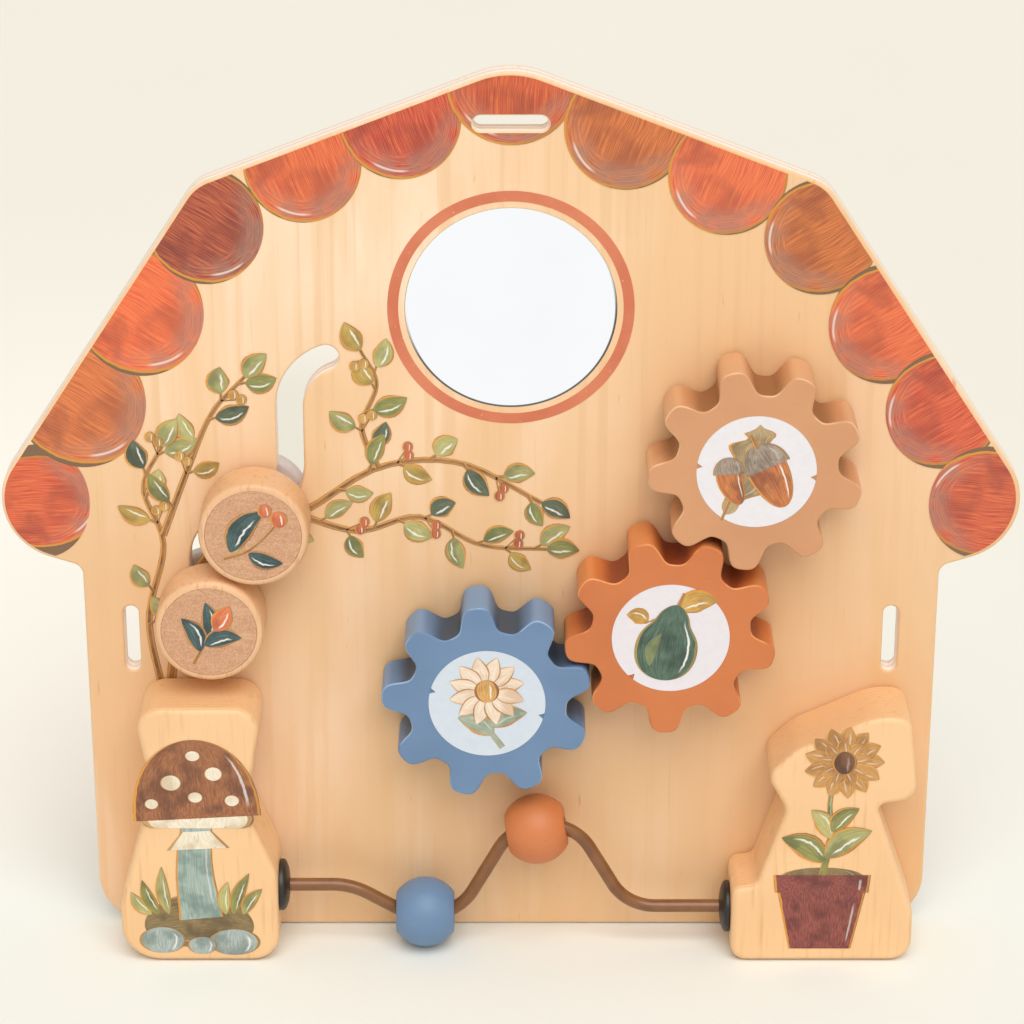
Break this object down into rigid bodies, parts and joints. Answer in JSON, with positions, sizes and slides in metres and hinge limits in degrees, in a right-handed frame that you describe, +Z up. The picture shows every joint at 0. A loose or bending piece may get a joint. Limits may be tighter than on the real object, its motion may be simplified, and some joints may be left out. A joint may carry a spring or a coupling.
{
  "type": "activity board",
  "caption": "Free-standing barn-shaped wooden activity board with a mirror, meshed toothed wheels, discs in a curved slot and beads on a bent wire.",
  "frame": {"origin": "middle of the panel's bottom edge, at half the panel's thickness", "axes": "+X to the right seen from the front, +Z up, the board's front faces -Y"},
  "size_m": [0.3996, 0.0491, 0.3651],
  "materials": {
    "plywood": "clear matt lacquer",
    "beech": "clear matt lacquer",
    "printed_disc": "matt print on thin board",
    "tan_paint": "matt water-based paint",
    "terracotta_paint": "matt water-based paint",
    "blue_paint": "matt water-based paint",
    "mirror_acrylic": "polished acrylic mirror",
    "adhesive_pad": "foam adhesive",
    "zinc_steel": "zinc plated",
    "coated_wire": "brown powder coat on steel wire",
    "black_collar": "satin black plastic"
  },
  "bodies": {
    "board": {"back_panel": "plywood", "mirror": "mirror_acrylic", "mirror_pad": "adhesive_pad", "left_block": "beech", "right_block": "beech", "left_block_lower_screw": "zinc_steel", "left_block_upper_screw": "zinc_steel", "right_block_lower_screw": "zinc_steel", "right_block_upper_screw": "zinc_steel", "bead_wire": "coated_wire", "left_wire_collar": "black_collar", "right_wire_collar": "black_collar", "upper_gear_bush": "zinc_steel", "upper_gear_spacer": "beech", "upper_gear_screw": "zinc_steel", "upper_gear_nut": "zinc_steel", "middle_gear_bush": "zinc_steel", "middle_gear_spacer": "beech", "middle_gear_screw": "zinc_steel", "middle_gear_nut": "zinc_steel", "lower_gear_bush": "zinc_steel", "lower_gear_spacer": "beech", "lower_gear_screw": "zinc_steel", "lower_gear_nut": "zinc_steel"},
    "upper_wheel": {"upper_gear": "tan_paint", "upper_gear_disc": "printed_disc"},
    "middle_wheel": {"middle_gear": "terracotta_paint", "middle_gear_disc": "printed_disc"},
    "lower_wheel": {"lower_gear": "blue_paint", "lower_gear_disc": "printed_disc"},
    "upper_carriage": {"upper_slider_stem": "beech", "upper_slider_screw": "zinc_steel", "upper_slider_back": "beech"},
    "upper_slider": {"upper_slider_disc": "beech", "upper_slider_face": "printed_disc"},
    "lower_carriage": {"lower_slider_stem": "beech", "lower_slider_screw": "zinc_steel", "lower_slider_back": "beech"},
    "lower_slider": {"lower_slider_disc": "beech", "lower_slider_face": "printed_disc"},
    "blue_bead": {"blue_bead": "blue_paint"},
    "orange_bead": {"orange_bead": "terracotta_paint"}
  },
  "joints": [
    {"name": "middle_gear_spin", "type": "hinge", "parent": "board", "child": "middle_wheel", "pos_m": [0.06255, -0.018, 0.14255], "axis": [0, -1, 0], "continuous": true},
    {"name": "upper_gear_spin", "type": "hinge", "parent": "board", "child": "upper_wheel", "pos_m": [0.0942, -0.018, 0.2133], "axis": [0, -1, 0], "continuous": true},
    {"name": "lower_gear_spin", "type": "hinge", "parent": "board", "child": "lower_wheel", "pos_m": [-0.00945, -0.018, 0.1139], "axis": [0, -1, 0], "continuous": true},
    {"name": "upper_slider_travel", "type": "hinge", "parent": "board", "child": "upper_carriage", "pos_m": [-0.11, 0, 0.20701], "axis": [0, -1, 0], "range_deg": [0, 65]},
    {"name": "upper_slider_spin", "type": "hinge", "parent": "upper_carriage", "child": "upper_slider", "pos_m": [-0.09986, -0.0165, 0.18526], "axis": [0, -1, 0], "continuous": true},
    {"name": "lower_slider_travel", "type": "hinge", "parent": "board", "child": "lower_carriage", "pos_m": [-0.0515, 0, 0.1646], "axis": [0, 1, 0], "range_deg": [0, 2]},
    {"name": "lower_slider_spin", "type": "hinge", "parent": "lower_carriage", "child": "lower_slider", "pos_m": [-0.1184, -0.0165, 0.144], "axis": [0, -1, 0], "continuous": true},
    {"name": "blue_bead_travel", "type": "hinge", "parent": "board", "child": "blue_bead", "pos_m": [-0.03493, -0.0203, 0.03486], "axis": [0, -1, 0], "range_deg": [-32, 45]},
    {"name": "orange_bead_travel", "type": "hinge", "parent": "board", "child": "orange_bead", "pos_m": [0.0136, -0.0203, 0.03402], "axis": [0, -1, 0], "range_deg": [-68, 40]}
  ],
  "couplings": [
    {"joint": "upper_gear_spin", "follows": "middle_gear_spin", "ratio": -1},
    {"joint": "lower_gear_spin", "follows": "middle_gear_spin", "ratio": -1}
  ]
}
